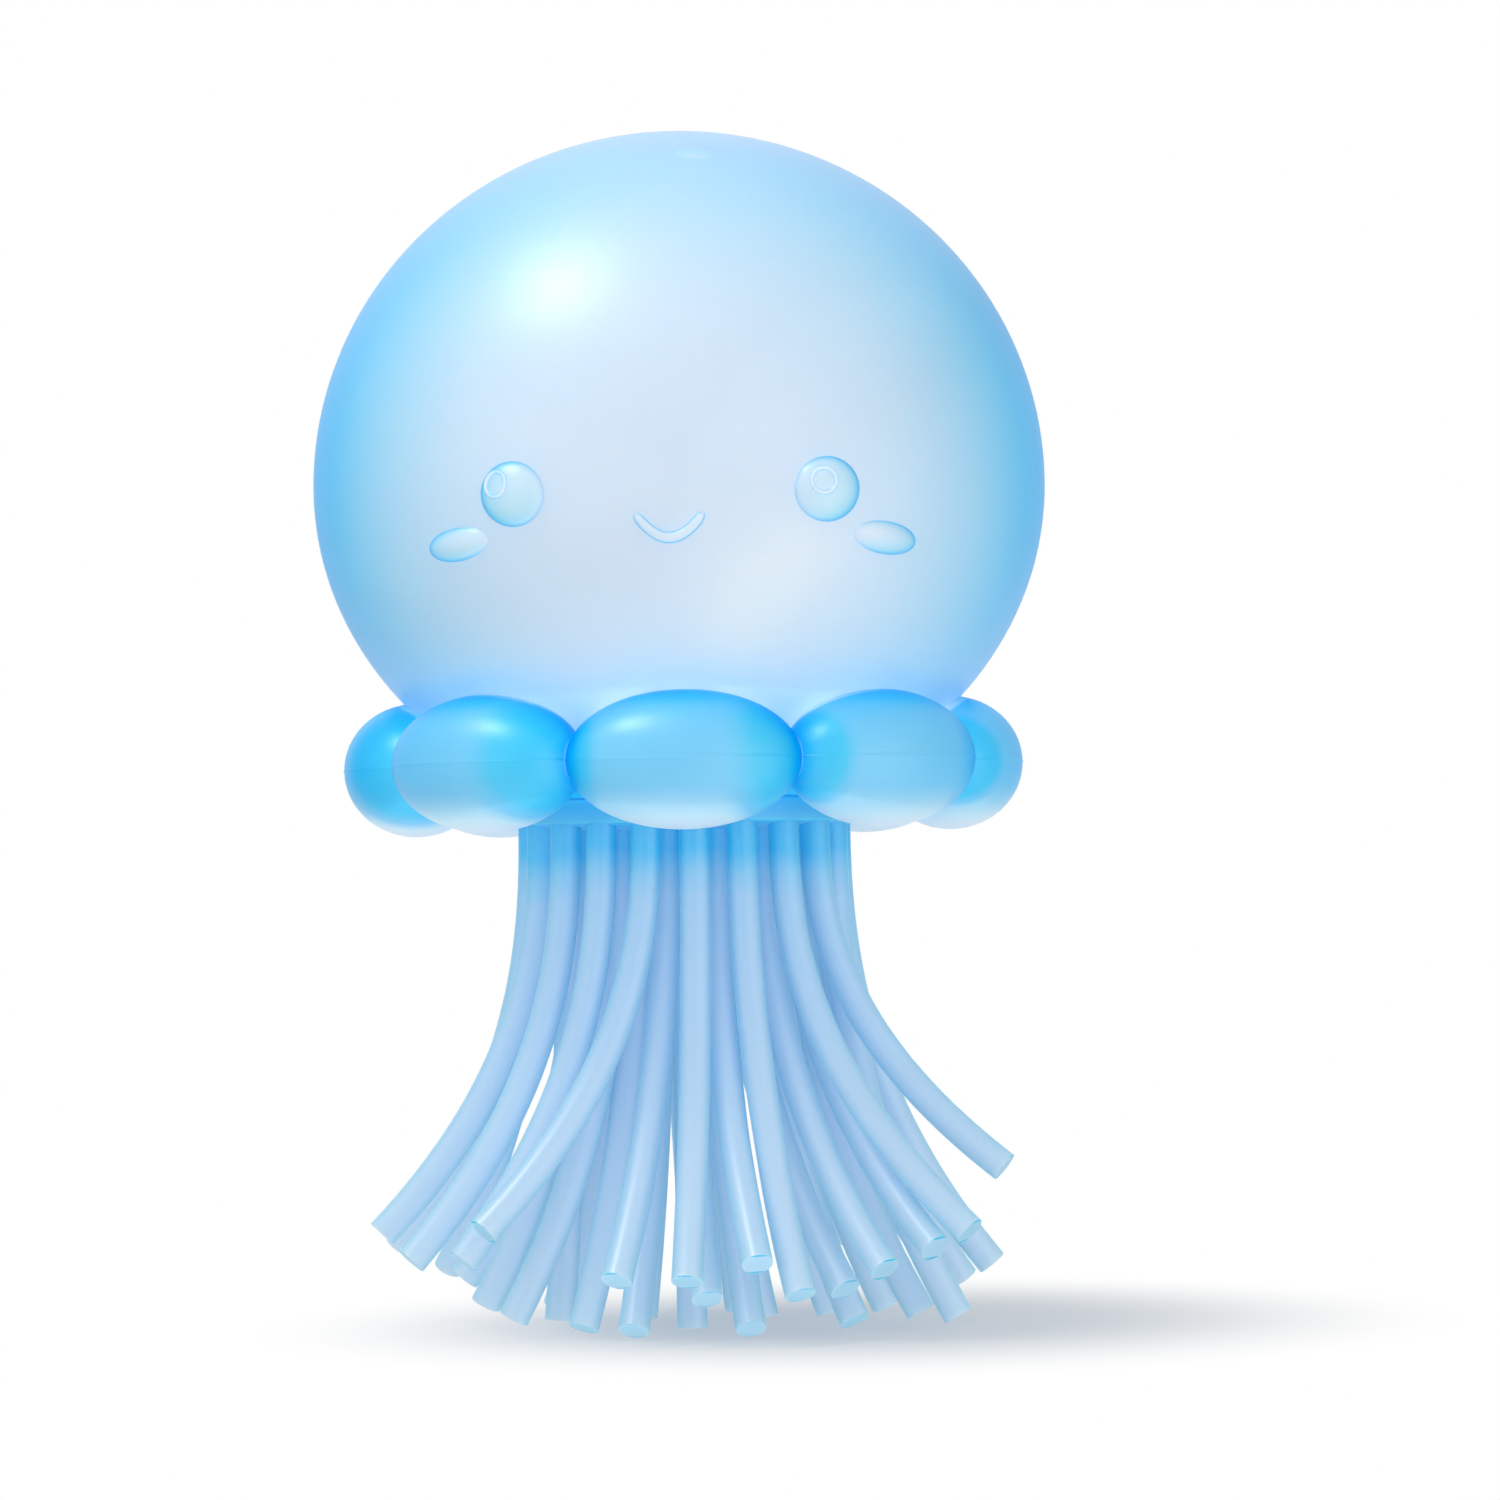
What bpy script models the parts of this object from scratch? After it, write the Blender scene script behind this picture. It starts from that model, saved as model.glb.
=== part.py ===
"""Jellyfish squishy toy: a soft rubber bell with a face and an eight-lobed skirt,
closed below by a plug that carries a bunch of rubber strands.

Metres, +Z up. The origin is on the floor, under the middle of the toy. The face
looks towards -Y.
"""

import math

import bmesh
import bpy
import numpy as np
from mathutils import Matrix, Vector

# Strands and their plug
STRAND_RADIUS = 0.00165
STRAND_DROP = 0.0549
STRAND_GAP = 0.0004
STRAND_EMBED = 0.0012
STRAND_SEGMENTS = 6
SWING_POWER = 2.4
PLUG_RADIUS = 0.0183
PLUG_FLANGE = 0.0025
PLUG_BELLY = 0.0014
SPIGOT_RADIUS = 0.0140
SPIGOT_HEIGHT = 0.0016
CLEARANCE = 0.0003

# Each ring of strands: the radius of its roots, the bearing of its first root and
# one tip for each root, going round. A tip is its bearing from the front in
# degrees, its reach from the middle and its lift off the floor in millimetres.
MILLIMETRE = 0.001
OUTER_RING = 0.01655
OUTER_START = 3.5
OUTER_TIPS = [
    (-1, 27.5, 6.3), (23, 28.7, 4.6), (51, 37.3, 10.4), (66, 36.6, 16.6), (77, 29.5, 0.5),
    (93, 33.0, 5.4), (109, 32.0, 3.2), (127, 34.0, 4.6), (140, 33.0, 3.4), (152, 35.0, 6.0),
    (179, 32.0, 4.0), (-164, 34.0, 7.0), (-147, 33.0, 4.0), (-129, 35.7, 14.2), (-117, 30.5, 5.0),
    (-104, 33.4, 8.0), (-76, 34.2, 10.2), (-62, 33.6, 7.8), (-51, 31.0, 8.0), (-41, 33.0, 11.3),
]
MIDDLE_RING = 0.0122
MIDDLE_START = -10
MIDDLE_TIPS = [
    (-17, 26.7, 6.2), (14, 28.9, 7.8), (39, 32.0, 6.7), (48, 34.6, 8.6), (85, 25.0, 0.6),
    (116, 24.0, 0.5), (141, 24.0, 1.0), (167, 24.5, 0.5), (-167, 24.0, 0.8), (-141, 24.0, 0.5),
    (-114, 24.5, 1.5), (-83, 14.5, 1.0), (-84, 22.5, 2.3), (-66, 21.0, 1.2),
]
INNER_RING = 0.0080
INNER_START = 0
INNER_TIPS = [
    (4, 22.6, 3.9), (38, 26.2, 4.4), (58, 20.5, 0.5), (112, 16.5, 0.5), (160, 15.5, 0.4),
    (-157, 15.5, 0.5), (-118, 15.5, 0.4), (-95, 25.0, 4.6), (-40, 18.0, 0.6),
]
CORE_RING = 0.0041
CORE_START = 45
CORE_TIPS = [(19, 19.0, 0.3), (112, 8.5, 0.4), (-140, 8.5, 0.5), (-20, 18.1, 0.3)]

# How the strands are kept apart: levels looked at, rounds of pushing, the share of
# an overlap that each strand gives way, and how far past its tip a strand counts
SPREAD_LEVELS = 34
SPREAD_ROUNDS = 160
GIVE_WAY = 0.5
PAST_TIP = 1.05

# Skirt of lobes
NECK_RADIUS = 0.0180
NECK_HEIGHT = 0.0035
LOBE_COUNT = 8
RING_RADIUS = 0.0292
LOBE_HALF_THICKNESS = 0.0079
LOBE_HALF_LENGTH = 0.0123
LOBE_HALF_HEIGHT = 0.0073
LOBE_SIDES = 16
LOBE_RINGS = 10

# Head
HEAD_RADIUS = 0.0400
HEAD_OVER_SKIRT = 0.0306
HEAD_UPPER = 0.0388
HEAD_LOWER = 0.0361
TURN_STEPS = 40
HEAD_ROWS = 8

# Face, as distances below the head's middle and bearings from the face's own middle
FACE_TURN = math.radians(-1.6)
EYE_BEARING = math.radians(24.0)
EYE_DROP = 0.0034
EYE_RADIUS = 0.0033
EYE_RISE = 0.0015
GLINT_RADIUS = 0.00135
GLINT_OFFSET = 0.0009
GLINT_RISE = 0.0003
CHEEK_BEARING = math.radians(34.6)
CHEEK_DROP = 0.0082
CHEEK_HALF_WIDTH = 0.0041
CHEEK_HALF_HEIGHT = 0.0020
CHEEK_RISE = 0.0009
CHEEK_TILT = math.radians(7)
SMILE_HALF_ANGLE = math.radians(5.1)
SMILE_DROP = 0.0083
SMILE_DEPTH = 0.0025
SMILE_RADIUS = 0.00055
SMILE_TAPER = 0.4
SMILE_POINTS = 9
SMILE_SEAT = 0.00015
RELIEF_SEAT = 0.0005
RELIEF_SIDES = 16
RELIEF_RINGS = 8
GLINT_SIDES = 12
ROD_BEVEL = 1

# Heights that follow from the sizes above
PLUG_BOTTOM = STRAND_DROP
PLUG_TOP = PLUG_BOTTOM + PLUG_FLANGE
NECK_BOTTOM = PLUG_TOP + CLEARANCE
SKIRT_Z = NECK_BOTTOM + NECK_HEIGHT
HEAD_Z = SKIRT_Z + HEAD_OVER_SKIRT

MERGE = 0.00001
BELL_BLUE = (0.42, 0.70, 0.92)
STRAND_BLUE = (0.36, 0.62, 0.87)
SATIN = 0.35


def rubber(name, colour):
    """A soft satin rubber of one colour."""
    material = bpy.data.materials.new(name)
    material.use_nodes = True
    shader = material.node_tree.nodes["Principled BSDF"]
    shader.inputs["Base Color"].default_value = (*colour, 1)
    shader.inputs["Roughness"].default_value = SATIN
    shader.inputs["Metallic"].default_value = 0
    return material


def add_object(name, mesh, group):
    """A new object that shows a mesh, in a collection."""
    ob = bpy.data.objects.new(name, mesh)
    group.objects.link(ob)
    return ob


def as_guide(ob):
    """Marks an object as a shape that only joins another."""
    ob.hide_render = True
    ob.display_type = "WIRE"
    return ob


def unite(target, guide):
    """Joins a guide's shape to the target with a Boolean."""
    join = target.modifiers.new("Join " + guide.name, "BOOLEAN")
    join.operation = "UNION"
    join.solver = "EXACT"
    join.object = guide


def turned(name, profile, group):
    """A solid of revolution from (radius, height) points, which run top to bottom."""
    mesh = bpy.data.meshes.new(name)
    points = [(radius, 0, height) for radius, height in profile]
    edges = [(i, i + 1) for i in range(len(points) - 1)]
    mesh.from_pydata(points, edges, [])
    ob = add_object(name, mesh, group)
    screw = ob.modifiers.new("Turn", "SCREW")
    screw.steps = TURN_STEPS
    screw.render_steps = TURN_STEPS
    screw.use_merge_vertices = True
    screw.merge_threshold = MERGE
    screw.use_smooth_shade = True
    return ob


def ellipsoid(name, radii, place, group, segments, rings, twist=0.0):
    """An ellipsoid with its half sizes along its own axes, put at a place.

    The twist turns its facets about their poles and leaves its form as it is.
    """
    bm = bmesh.new()
    bmesh.ops.create_uvsphere(bm, u_segments=segments, v_segments=rings, radius=1)
    bmesh.ops.transform(bm, matrix=Matrix.Rotation(twist, 4, "Z"), verts=bm.verts)
    bmesh.ops.scale(bm, vec=radii, verts=bm.verts)
    bmesh.ops.transform(bm, matrix=place, verts=bm.verts)
    mesh = bpy.data.meshes.new(name)
    bm.to_mesh(mesh)
    bm.free()
    return as_guide(add_object(name, mesh, group))


def on_bearing(bearing, radius, height):
    """The point at a bearing from the front, a radius from the axis and a height."""
    return Vector((radius * math.sin(bearing), -radius * math.cos(bearing), height))


def head_point(bearing, rise):
    """The head's surface at a bearing and a height over its middle, and its normal."""
    half = HEAD_UPPER if rise > 0 else HEAD_LOWER
    radius = HEAD_RADIUS * math.sqrt(1 - (rise / half) ** 2)
    out = on_bearing(bearing, radius / HEAD_RADIUS**2, rise / half**2)
    return on_bearing(bearing, radius, HEAD_Z + rise), out.normalized()


def on_head(bearing, rise, tilt=0.0):
    """A frame on the head: X to the right, Y up the face and Z out of it."""
    point, normal = head_point(bearing, rise)
    right = Vector((math.cos(bearing), math.sin(bearing), 0))
    up = normal.cross(right)
    turn = Matrix((right, up, normal)).transposed().to_4x4()
    return Matrix.Translation(point) @ turn @ Matrix.Rotation(tilt, 4, "Z")


def curve_mesh(name, routes, depth, group):
    """One mesh of round rods, each along a list of (point, width factor)."""
    curve = bpy.data.curves.new(name, "CURVE")
    curve.dimensions = "3D"
    curve.bevel_depth = depth
    curve.bevel_resolution = ROD_BEVEL
    curve.use_fill_caps = True
    for route in routes:
        spline = curve.splines.new("POLY")
        spline.points.add(len(route) - 1)
        for knot, (point, factor) in zip(spline.points, route):
            knot.co = (*point, 1)
            knot.radius = factor
    rod = add_object(name + "_curve", curve, group)
    bpy.context.view_layer.update()
    depsgraph = bpy.context.evaluated_depsgraph_get()
    mesh = bpy.data.meshes.new_from_object(rod.evaluated_get(depsgraph))
    bm = bmesh.new()
    bm.from_mesh(mesh)
    bmesh.ops.remove_doubles(bm, verts=bm.verts, dist=MERGE)
    bmesh.ops.recalc_face_normals(bm, faces=bm.faces)
    bm.to_mesh(mesh)
    bm.free()
    solid = add_object(name, mesh, group)
    solid.matrix_world = rod.matrix_world
    bpy.data.objects.remove(rod)
    return as_guide(solid)


def ring_of_strands(radius, start, tips):
    """The root and the tip of each strand of one ring, with the tip's lift."""
    ends = []
    for i, (bearing, reach, lift) in enumerate(tips):
        root = on_bearing(math.radians(start + 360 * i / len(tips)), radius, 0)
        tip = on_bearing(math.radians(bearing), reach * MILLIMETRE, 0)
        slope = SWING_POWER * (tip - root).length / STRAND_DROP
        rim = STRAND_RADIUS * slope / math.sqrt(1 + slope**2)
        ends.append((root[:2], tip[:2], lift * MILLIMETRE + rim))
    return ends


def strand_ends():
    """All strands as arrays: the root, the tip and the tip's height."""
    ends = [((0, 0), (0, 0), 0)]
    ends += ring_of_strands(CORE_RING, CORE_START, CORE_TIPS)
    ends += ring_of_strands(INNER_RING, INNER_START, INNER_TIPS)
    ends += ring_of_strands(MIDDLE_RING, MIDDLE_START, MIDDLE_TIPS)
    ends += ring_of_strands(OUTER_RING, OUTER_START, OUTER_TIPS)
    roots, tips, heights = zip(*ends)
    return np.array(roots), np.array(tips), np.array(heights)


def swing(fall, roots, tips):
    """Where strands are once they have fallen this share of their drop."""
    return roots + (tips - roots) * fall**SWING_POWER


def spread_strands(roots, tips, heights):
    """How far each strand is pushed sideways at each level so that no two touch.

    The middle strand hangs straight and stays. A push is shared along a strand and
    fades out at its root, which the plug holds.
    """
    nearest = 2 * STRAND_RADIUS + STRAND_GAP
    height = np.linspace(PLUG_BOTTOM, 0, SPREAD_LEVELS)
    step = height[0] - height[1]
    fall = (PLUG_BOTTOM - height) / (PLUG_BOTTOM - heights[:, None])
    hangs = fall <= PAST_TIP
    base = swing(np.minimum(fall, PAST_TIP)[..., None], roots[:, None], tips[:, None])
    push = np.zeros_like(base)
    itself = range(len(roots))
    for _ in range(SPREAD_ROUNDS):
        place = base + push
        slope = np.gradient(place, step, axis=1)
        apart = place[:, None] - place[None]
        lean = (slope[:, None] + slope[None]) / 2
        along = (apart * lean).sum(-1) ** 2 / (1 + (lean**2).sum(-1))
        wide = np.sqrt(np.maximum((apart**2).sum(-1) - along, 0))
        meets = (wide < nearest) & hangs[:, None] & hangs[None]
        meets[itself, itself] = False
        length = np.linalg.norm(apart, axis=-1)
        length[itself, itself] = nearest
        shove = np.where(meets, GIVE_WAY * (nearest - wide) / length, 0)[..., None] * apart
        push += shove.sum(1)
        push[:, 1:-1] = (push[:, :-2] + 2 * push[:, 1:-1] + push[:, 2:]) / 4
        push[:, 0] = 0
        push[0] = 0
    return height, push


def strand_routes(segments):
    """The middle line of each strand, from inside the plug to its tip."""
    roots, tips, heights = strand_ends()
    levels, push = spread_strands(roots, tips, heights)
    routes = []
    for root, tip, low, aside in zip(roots, tips, heights, push):
        route = [Vector((*root, PLUG_BOTTOM + STRAND_EMBED))]
        for fall in np.linspace(0, 1, segments + 1):
            z = PLUG_BOTTOM + (low - PLUG_BOTTOM) * fall
            x, y = swing(fall, root, tip)
            x += np.interp(-z, -levels, aside[:, 0])
            y += np.interp(-z, -levels, aside[:, 1])
            route.append(Vector((x, y, z)))
        routes.append(route)
    return routes


def make_tentacles(parts, guides):
    """The plug that closes the bell from below, with all its strands."""
    profile = [
        (0, PLUG_TOP + SPIGOT_HEIGHT),
        (SPIGOT_RADIUS, PLUG_TOP + SPIGOT_HEIGHT),
        (SPIGOT_RADIUS, PLUG_TOP),
        (PLUG_RADIUS, PLUG_TOP),
        (PLUG_RADIUS, PLUG_BOTTOM),
        (0, PLUG_BOTTOM - PLUG_BELLY),
    ]
    plug = turned("tentacles", profile, parts)
    routes = [[(point, 1) for point in route] for route in strand_routes(STRAND_SEGMENTS)]
    unite(plug, curve_mesh("strands", routes, STRAND_RADIUS, guides))
    plug.data.materials.append(rubber("Pale strand rubber", STRAND_BLUE))


def head_profile():
    """The head, the neck under it and the socket for the plug, top to bottom."""
    points = [(0, HEAD_Z + HEAD_UPPER)]
    for row in range(1, HEAD_ROWS):
        angle = math.pi / 2 * (1 - row / HEAD_ROWS)
        points.append((HEAD_RADIUS * math.cos(angle), HEAD_Z + HEAD_UPPER * math.sin(angle)))
    neck_angle = math.acos(NECK_RADIUS / HEAD_RADIUS)
    for row in range(HEAD_ROWS):
        angle = neck_angle * row / (HEAD_ROWS - 1)
        points.append((HEAD_RADIUS * math.cos(angle), HEAD_Z - HEAD_LOWER * math.sin(angle)))
    socket = SPIGOT_RADIUS + CLEARANCE
    roof = PLUG_TOP + SPIGOT_HEIGHT + CLEARANCE
    points += [(NECK_RADIUS, NECK_BOTTOM), (socket, NECK_BOTTOM), (socket, roof), (0, roof)]
    return points


def add_lobes(bell, guides):
    """The skirt: fat lobes in a ring, one of them in front, their poles along the ring.

    Every other lobe has its facets twisted by half a side, so that no edge of one
    lobe lies on an edge of the next where they meet.
    """
    radii = (LOBE_HALF_HEIGHT, LOBE_HALF_THICKNESS, LOBE_HALF_LENGTH)
    for i in range(LOBE_COUNT):
        bearing = 2 * math.pi * i / LOBE_COUNT
        place = Matrix.Translation(on_bearing(bearing, RING_RADIUS, SKIRT_Z))
        place = place @ Matrix.Rotation(bearing, 4, "Z") @ Matrix.Rotation(math.pi / 2, 4, "Y")
        twist = math.pi / LOBE_SIDES * (i % 2)
        unite(bell, ellipsoid(f"lobe_{i}", radii, place, guides, LOBE_SIDES, LOBE_RINGS, twist))


def relief(bell, name, half_sizes, rise, place, guides, sides=RELIEF_SIDES):
    """Joins a low dome to the head: its half sizes in plan, and its rise at a frame.

    The dome is the top of an ellipsoid whose middle is seated inside the head.
    """
    depth = rise + RELIEF_SEAT
    widen = 1 / math.sqrt(1 - (RELIEF_SEAT / depth) ** 2)
    radii = (half_sizes[0] * widen, half_sizes[1] * widen, depth)
    seated = place @ Matrix.Translation((0, 0, -RELIEF_SEAT))
    unite(bell, ellipsoid(name, radii, seated, guides, sides, RELIEF_RINGS))


def add_face(bell, guides):
    """Two dome eyes with a glint on each, two cheeks and a smile, in relief."""
    to_corner = Matrix.Translation((-GLINT_OFFSET, GLINT_OFFSET, 0))
    eye = (EYE_RADIUS, EYE_RADIUS)
    glint = (GLINT_RADIUS, GLINT_RADIUS)
    glint_rise = EYE_RISE + GLINT_RISE
    cheek = (CHEEK_HALF_WIDTH, CHEEK_HALF_HEIGHT)
    for side, name in ((-1, "left"), (1, "right")):
        place = on_head(FACE_TURN + side * EYE_BEARING, -EYE_DROP)
        relief(bell, f"eye_{name}", eye, EYE_RISE, place, guides)
        relief(bell, f"glint_{name}", glint, glint_rise, place @ to_corner, guides, GLINT_SIDES)
        place = on_head(FACE_TURN + side * CHEEK_BEARING, -CHEEK_DROP, -side * CHEEK_TILT)
        relief(bell, f"cheek_{name}", cheek, CHEEK_RISE, place, guides)
    route = []
    for share in np.linspace(-1, 1, SMILE_POINTS):
        rise = -SMILE_DROP + SMILE_DEPTH * share**2
        point, normal = head_point(FACE_TURN + share * SMILE_HALF_ANGLE, rise)
        route.append((point - normal * SMILE_SEAT, 1 - SMILE_TAPER * share**2))
    unite(bell, curve_mesh("smile", [route], SMILE_RADIUS, guides))


def make_bell(parts, guides):
    """The moulded bell: head, face, skirt and neck in one piece."""
    bell = turned("bell", head_profile(), parts)
    add_lobes(bell, guides)
    add_face(bell, guides)
    bell.data.materials.append(rubber("Clear blue bell rubber", BELL_BLUE))


def main():
    for ob in list(bpy.data.objects):
        bpy.data.objects.remove(ob, do_unlink=True)
    parts = bpy.data.collections.new("Jellyfish squishy toy")
    guides = bpy.data.collections.new("Shapes joined to the parts")
    bpy.context.scene.collection.children.link(parts)
    bpy.context.scene.collection.children.link(guides)
    make_tentacles(parts, guides)
    make_bell(parts, guides)


main()
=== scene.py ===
"""Jellyfish squishy toy: a frosted pale blue rubber bell with a face and a skirt of
eight lobes, and a bunch of soft rubber strands on the plug that closes it.

Metres, +Z up. The face looks towards -Y.
"""

import math

import bpy
import numpy as np
from mathutils import Matrix, Vector


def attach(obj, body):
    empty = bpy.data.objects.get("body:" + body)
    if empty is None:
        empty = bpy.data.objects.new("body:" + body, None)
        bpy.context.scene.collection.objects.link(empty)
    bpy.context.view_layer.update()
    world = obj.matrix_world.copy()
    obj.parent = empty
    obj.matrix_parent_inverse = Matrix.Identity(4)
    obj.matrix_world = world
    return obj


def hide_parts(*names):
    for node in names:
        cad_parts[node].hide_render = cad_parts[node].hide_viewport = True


# Strands and their plug
STRAND_RADIUS = 0.00165
STRAND_DROP = 0.0549
STRAND_GAP = 0.0004
STRAND_EMBED = 0.0012
STRAND_SEGMENTS = 44
STRAND_BEVEL = 7
SWING_POWER = 2.4
PLUG_RADIUS = 0.0183
PLUG_FLANGE = 0.0025
PLUG_BELLY = 0.0014
SPIGOT_RADIUS = 0.0140
SPIGOT_HEIGHT = 0.0016
CLEARANCE = 0.0003
PLUG_EDGE = 0.0003
PLUG_EDGE_STEPS = 3
END_EDGE = 0.00006
END_RIM = 0.00030
END_DISH = 0.00012

# How far each step of the plug's belly goes down, as a share of its depth
BELLY_STEPS = (7 / 16, 5 / 16, 3 / 16)

# Each ring of strands: the radius of its roots, the bearing of its first root and
# one tip for each root. A tip is its bearing from the front in degrees, its reach
# from the middle and its lift off the floor in millimetres.
MILLIMETRE = 0.001
OUTER_RING = 0.01655
OUTER_START = 3.5
OUTER_TIPS = [
    (-1, 27.5, 6.3), (23, 28.7, 4.6), (51, 37.3, 10.4), (66, 36.6, 16.6), (77, 29.5, 0.5),
    (93, 33.0, 5.4), (109, 32.0, 3.2), (127, 34.0, 4.6), (140, 33.0, 3.4), (152, 35.0, 6.0),
    (179, 32.0, 4.0), (-164, 34.0, 7.0), (-147, 33.0, 4.0), (-129, 35.7, 14.2), (-117, 30.5, 5.0),
    (-104, 33.4, 8.0), (-76, 34.2, 10.2), (-62, 33.6, 7.8), (-51, 31.0, 8.0), (-41, 33.0, 11.3),
]
MIDDLE_RING = 0.0122
MIDDLE_START = -10
MIDDLE_TIPS = [
    (-17, 26.7, 6.2), (14, 28.9, 7.8), (39, 32.0, 6.7), (48, 34.6, 8.6), (85, 25.0, 0.6),
    (116, 24.0, 0.5), (141, 24.0, 1.0), (167, 24.5, 0.5), (-167, 24.0, 0.8), (-141, 24.0, 0.5),
    (-114, 24.5, 1.5), (-83, 14.5, 1.0), (-84, 22.5, 2.3), (-66, 21.0, 1.2),
]
INNER_RING = 0.0080
INNER_START = 0
INNER_TIPS = [
    (4, 22.6, 3.9), (38, 26.2, 4.4), (58, 20.5, 0.5), (112, 16.5, 0.5), (160, 15.5, 0.4),
    (-157, 15.5, 0.5), (-118, 15.5, 0.4), (-95, 25.0, 4.6), (-40, 18.0, 0.6),
]
CORE_RING = 0.0041
CORE_START = 45
CORE_TIPS = [(19, 19.0, 0.3), (112, 8.5, 0.4), (-140, 8.5, 0.5), (-20, 18.1, 0.3)]

# How the strands are kept apart: levels looked at, rounds of pushing, the share of
# an overlap that each strand gives way, and how far past its tip a strand counts
SPREAD_LEVELS = 34
SPREAD_ROUNDS = 160
GIVE_WAY = 0.5
PAST_TIP = 1.05

# Skirt of lobes
NECK_RADIUS = 0.0180
NECK_HEIGHT = 0.0035
LOBE_COUNT = 8
RING_RADIUS = 0.0292
LOBE_HALF_THICKNESS = 0.0079
LOBE_HALF_LENGTH = 0.0123
LOBE_HALF_HEIGHT = 0.0073
LOBE_SEGMENTS = 72
LOBE_RINGS = 44
LOBE_UNEVENNESS = 0.00009
PARTING_WIDTH = 0.00016
PARTING_RISE = 0.00007

# Head
HEAD_RADIUS = 0.0400
HEAD_OVER_SKIRT = 0.0306
HEAD_UPPER = 0.0388
HEAD_LOWER = 0.0361
HEAD_SEGMENTS = 144
HEAD_RINGS = 84

# Face, as distances below the head's middle and bearings from the face's own middle
FACE_TURN = math.radians(-1.6)
EYE_BEARING = math.radians(24.0)
EYE_DROP = 0.0034
EYE_RADIUS = 0.0033
EYE_RISE = 0.0015
EYE_WIDENING = 1.08
GLINT_RADIUS = 0.00130
GLINT_WIRE = 0.00024
GLINT_SEAT = 0.00012
GLINT_PLACES = ((-0.00125, 0.00115), (-0.00100, 0.00095))
CHEEK_BEARING = math.radians(34.6)
CHEEK_DROP = 0.0082
CHEEK_HALF_WIDTH = 0.0038
CHEEK_HALF_HEIGHT = 0.0017
CHEEK_RISE = 0.0009
CHEEK_TILT = math.radians(7)
SMILE_HALF_ANGLE = math.radians(5.1)
SMILE_DROP = 0.0083
SMILE_DEPTH = 0.0025
SMILE_RADIUS = 0.00060
SMILE_TAPER = 0.12
SMILE_POINTS = 33
SMILE_BEVEL = 5
SMILE_SEAT = 0.00005
SMILE_BLUNTNESS = 16
SMILE_TIP = 0.25
RELIEF_SEAT = 0.0005
EYE_SIDES = 64
MARK_SIDES = 48
GLINT_SIDES = 12
CROWN_BEARING = math.radians(6.5)
CROWN_LATITUDE = math.radians(62)
CROWN_RADIUS = 0.0019
CROWN_RISE = 0.00022

# Heights that follow from the sizes above
PLUG_BOTTOM = STRAND_DROP
PLUG_TOP = PLUG_BOTTOM + PLUG_FLANGE
NECK_BOTTOM = PLUG_TOP + CLEARANCE
SKIRT_Z = NECK_BOTTOM + NECK_HEIGHT
HEAD_Z = SKIRT_Z + HEAD_OVER_SKIRT

# Points closer than this are one, and places closer than this count as the same
MERGE = 0.00001
NEAR = 0.000002

# A face with more corners than this is a flat end, not a piece of a curved side
FEW_CORNERS = 8

# Edges sharper than these angles stay crisp
STRAND_CREASE = math.radians(35)
BELL_CREASE = math.radians(28)

# How blue the rubber is, from 0 for the palest to 1 for the deepest: the head, the
# painted glow of light low on its front, the neck, and how much bluer the eyes and
# cheeks are, where the rubber is thicker, with painted shade most at their lower
# right, and how much paler the rings on the eyes are as a painted highlight
HEAD_BLUE = 0.07
PAINTED_GLOW_PALER = 0.11
GLOW_BEARING = math.radians(14)
GLOW_DROP = 0.0135
GLOW_RADIUS = 0.0040
GLOW_LONG = 8
GLOW_WIDE = 2
NECK_BLUE = 1.0
EYE_BLUE = 0.10
CHEEK_BLUE = 0.02
MARK_PAINTED_SHADE = 0.09
MARK_LEAN = 0.4
MARK_EDGE = 0.12
GLINT_PAINTED_HIGHLIGHT = 0.12
GLINT_REACH = 1.3

# The same for a lobe, whose length and height run from -1 to 1: deep ends, where the
# lobes meet and the rubber is thick, the one on the right wider as painted shade on the
# side away from the lamp, a deep crest, and a pale underside that is painted light
# from below. Each pair is where it starts and over what length it comes in.
LOBE_BLUE = 0.46
LOBE_ENDS_BLUER = 0.50
LOBE_CREST_BLUER = 0.40
LOBE_UNDERSIDE_PAINTED_LIGHT = 0.33
RIGHT_END = (0.30, 0.65)
LEFT_END = (0.70, 0.25)
CREST = (0.72, 0.26)
UNDERSIDE = (0.12, 0.80)

# Strength of the tinted film: what the head loses towards its top and its neck, as
# painted light that leaves its rim paler there, what a lobe has in its middle and gains
# at its ends or on its crest, and the strands'
HEAD_TOP_PAINTED_LIGHT = 0.62
HEAD_LOW_PAINTED_LIGHT = 0.90
LOBE_FILM = 0.55
LOBE_END_FILM = 0.75
LOBE_CREST_FILM = 0.45
STRAND_FILM = 0.4

# The painted highlight line between two lobes is this much sharper, and the one along
# the head this much wider, than the distance to the seam gives
LOBE_SEAM_SHARPER = 4
HEAD_SEAM_WIDER = 3
SEAM_FROM = 0.00015
SEAM_TO = 0.00045
SEAM_PAINTED_HIGHLIGHT = 0.65

# Colours by how blue the rubber is
BELL_COLOURS = (
    (0.0, (0.86, 0.91, 1.0)),
    (0.12, (0.73, 0.825, 1.0)),
    (0.26, (0.60, 0.84, 0.98)),
    (0.46, (0.20, 0.64, 0.94)),
    (0.72, (0.03, 0.63, 0.94)),
    (1.0, (0.0, 0.61, 0.94)),
)
STRAND_COLOURS = (
    (0.0, (0.52, 0.68, 0.84)),
    (0.35, (0.50, 0.66, 0.84)),
    (0.70, (0.43, 0.62, 0.83)),
    (0.90, (0.38, 0.60, 0.81)),
    (0.95, (0.26, 0.58, 0.81)),
    (1.0, (0.05, 0.52, 0.82)),
)
BELL_TINT = (0.16, 0.82, 1.0)
STRAND_TINT = (0.45, 0.96, 1.0)
BELL_SHEEN = 0.0
STRAND_SHEEN = 0.3

# The rim of a strand's cut end: how much bluer it is, and how many rims wide the blue
END_RIM_BLUER = 0.80
RIM_REACH = 1.2

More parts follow.
